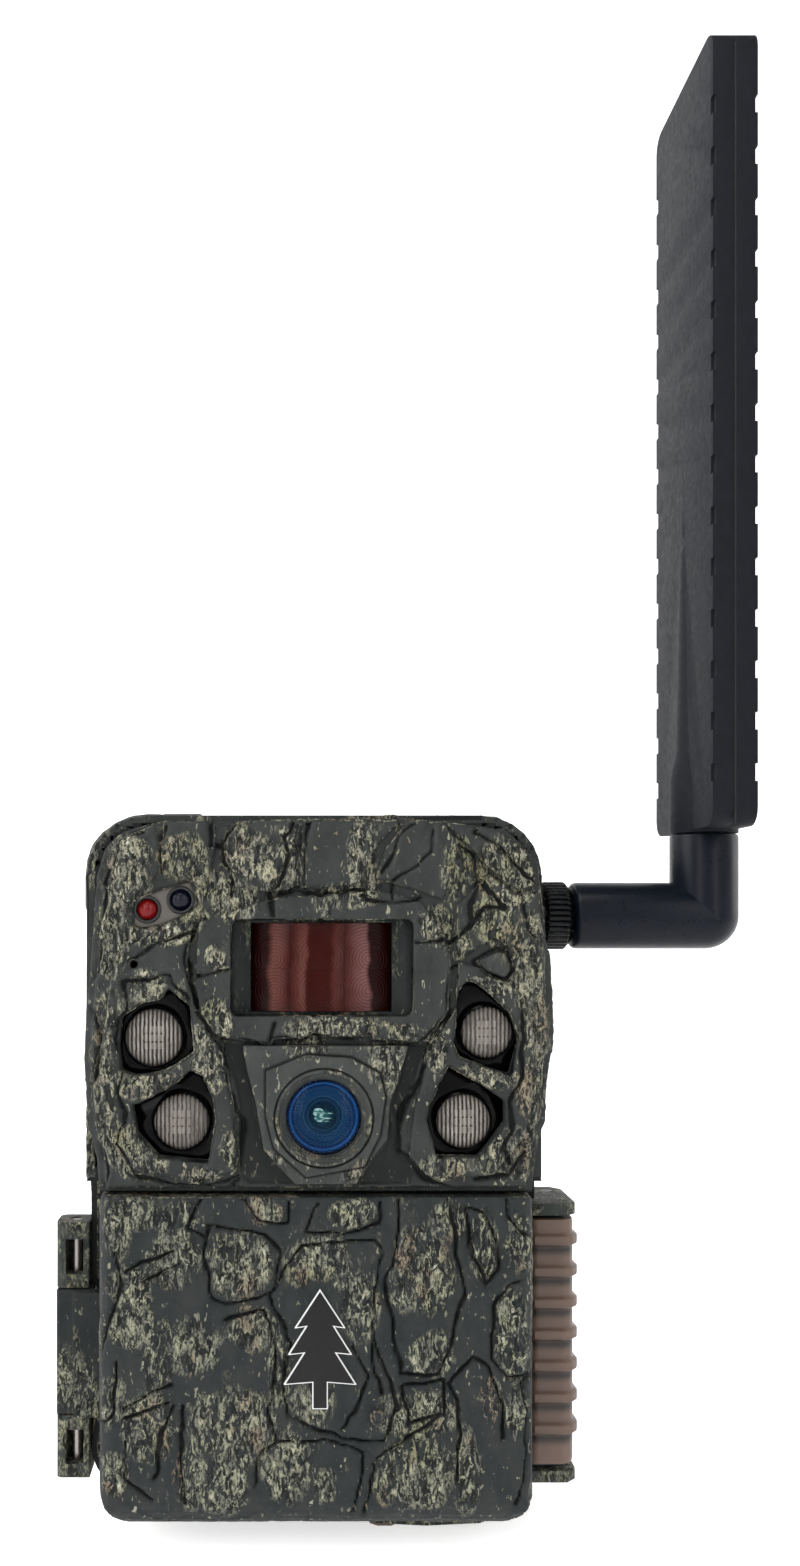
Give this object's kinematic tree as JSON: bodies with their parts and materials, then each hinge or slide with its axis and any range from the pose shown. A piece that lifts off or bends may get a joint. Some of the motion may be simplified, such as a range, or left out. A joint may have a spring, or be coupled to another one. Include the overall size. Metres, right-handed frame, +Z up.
{
  "type": "trail camera",
  "caption": "Bark textured trail camera with a hinged front door, side latch, motion sensor window, flash windows and a blade antenna on a side elbow.",
  "frame": {"origin": "mouth of the tripod thread in the base, which is also the height the feet stand at", "axes": "+Z up along the case and the antenna, -Y the way the lens looks, +X the camera's left, towards the antenna (right as seen from the front)"},
  "size_m": [0.1389, 0.0788, 0.2913],
  "materials": {
    "case_camo": "moulded bark texture, matte",
    "cover_camo": "moulded bark texture, matte",
    "door_camo": "moulded bark texture, matte",
    "tray_camo": "moulded, matte",
    "black_plastic": "fine grain",
    "gloss_black": "polished",
    "metal_ring": "satin",
    "lens_glass": "coated optical glass",
    "pir_red": "translucent, fine vertical ribs",
    "flash_lens": "clear, ribbed",
    "pcb_green": "solder mask",
    "panel_brown": "satin",
    "red_lens": "clear red",
    "navy_lens": "dark clear",
    "tin_plate": "bright",
    "steel": "brushed",
    "brass": "machined",
    "display_glass": "polished",
    "key_grey": "satin",
    "brown_rubber": "satin",
    "black_rubber": "matte",
    "bracket_black": "fine grain",
    "badge_black": "satin",
    "antenna_black": "fine grain",
    "antenna_gloss": "satin",
    "copper": "etched",
    "battery_can": "printed sleeve, no lettering",
    "card_plastic": "smooth"
  },
  "bodies": {
    "case": {"rear_case": "case_camo", "mid_frame": "case_camo", "hinge_knuckles": "case_camo", "latch_ears": "case_camo", "front_cover": "cover_camo", "lens_nose": "cover_camo", "lens_ring": "metal_ring", "lens_glass": "lens_glass", "lens_barrel": "black_plastic", "lens_element": "lens_glass", "image_sensor": "pcb_green", "pir_bezel": "black_plastic", "pir_lens": "pir_red", "pir_sensor": "tin_plate", "flash_windows": "gloss_black", "flash_lenses": "flash_lens", "flash_boards": "pcb_green", "status_panel": "panel_brown", "status_lens": "red_lens", "light_sensor": "navy_lens", "microphone": "tin_plate", "main_board": "pcb_green", "antenna_jack": "brass", "control_panel": "black_plastic", "display_screen": "display_glass", "keypad_board": "pcb_green", "usb_port": "tin_plate", "sd_slot": "tin_plate", "door_gasket": "black_rubber", "contact_board": "pcb_green", "tripod_insert": "brass", "tree_bracket": "bracket_black", "bracket_screws": "steel", "cover_screws": "steel", "hinge_pin": "steel", "latch_pin": "steel"},
    "door": {"door_shell": "door_camo", "door_badge": "badge_black", "door_studs": "metal_ring"},
    "latch": {"latch_lever": "black_plastic", "latch_grip": "brown_rubber"},
    "antenna_base": {"antenna_elbow": "antenna_gloss", "antenna_ferrule": "brass"},
    "nut": {"antenna_nut": "antenna_gloss"},
    "blade": {"blade_inner_shell": "antenna_black", "blade_outer_shell": "antenna_black", "antenna_strip": "copper"},
    "up_key": {"key_up": "key_grey"},
    "down_key": {"key_down": "key_grey"},
    "left_key": {"key_left": "key_grey"},
    "right_key": {"key_right": "key_grey"},
    "ok_key": {"key_ok": "brown_rubber"},
    "mode_switch": {"mode_slider": "brown_rubber"},
    "card": {"sd_card": "card_plastic"},
    "tray": {"battery_tray": "tray_camo", "battery_cups": "black_plastic", "battery_cells": "battery_can", "tray_contacts": "tin_plate", "rubber_feet": "brown_rubber"}
  },
  "joints": [
    {"name": "door_swing", "type": "hinge", "parent": "case", "child": "door", "pos_m": [-0.0486, -0.024, 0.0332], "axis": [0, 0, -1], "range_deg": [0, 115]},
    {"name": "latch_swing", "type": "hinge", "parent": "case", "child": "latch", "pos_m": [0.0494, -0.0175, 0.036], "axis": [0, 0, 1], "range_deg": [0, 100]},
    {"name": "antenna_swing", "type": "hinge", "parent": "case", "child": "antenna_base", "pos_m": [0.0505, -0.0264, 0.122], "axis": [1, 0, 0], "range_deg": [-180, 180]},
    {"name": "nut_spin", "type": "hinge", "parent": "antenna_base", "child": "nut", "pos_m": [0.049, -0.0264, 0.122], "axis": [1, 0, 0], "continuous": true},
    {"name": "blade_swivel", "type": "hinge", "parent": "antenna_base", "child": "blade", "pos_m": [0.0799, -0.0264, 0.14], "axis": [0, 0, 1], "range_deg": [-90, 90]},
    {"name": "up_press", "type": "slide", "parent": "case", "child": "up_key", "axis": [0, 1, 0], "range_m": [0, 0.0006], "stiffness_N_per_m": 1500},
    {"name": "down_press", "type": "slide", "parent": "case", "child": "down_key", "axis": [0, 1, 0], "range_m": [0, 0.0006], "stiffness_N_per_m": 1500},
    {"name": "left_press", "type": "slide", "parent": "case", "child": "left_key", "axis": [0, 1, 0], "range_m": [0, 0.0006], "stiffness_N_per_m": 1500},
    {"name": "right_press", "type": "slide", "parent": "case", "child": "right_key", "axis": [0, 1, 0], "range_m": [0, 0.0006], "stiffness_N_per_m": 1500},
    {"name": "ok_press", "type": "slide", "parent": "case", "child": "ok_key", "axis": [0, 1, 0], "range_m": [0, 0.0006], "stiffness_N_per_m": 1500},
    {"name": "mode_slide", "type": "slide", "parent": "case", "child": "mode_switch", "axis": [1, 0, 0], "range_m": [-0.003, 0.003]},
    {"name": "card_slide", "type": "slide", "parent": "case", "child": "card", "axis": [0, 0, -1], "range_m": [0, 0.03]},
    {"name": "tray_slide", "type": "slide", "parent": "case", "child": "tray", "axis": [0, 0, -1], "range_m": [0, 0.06]}
  ]
}
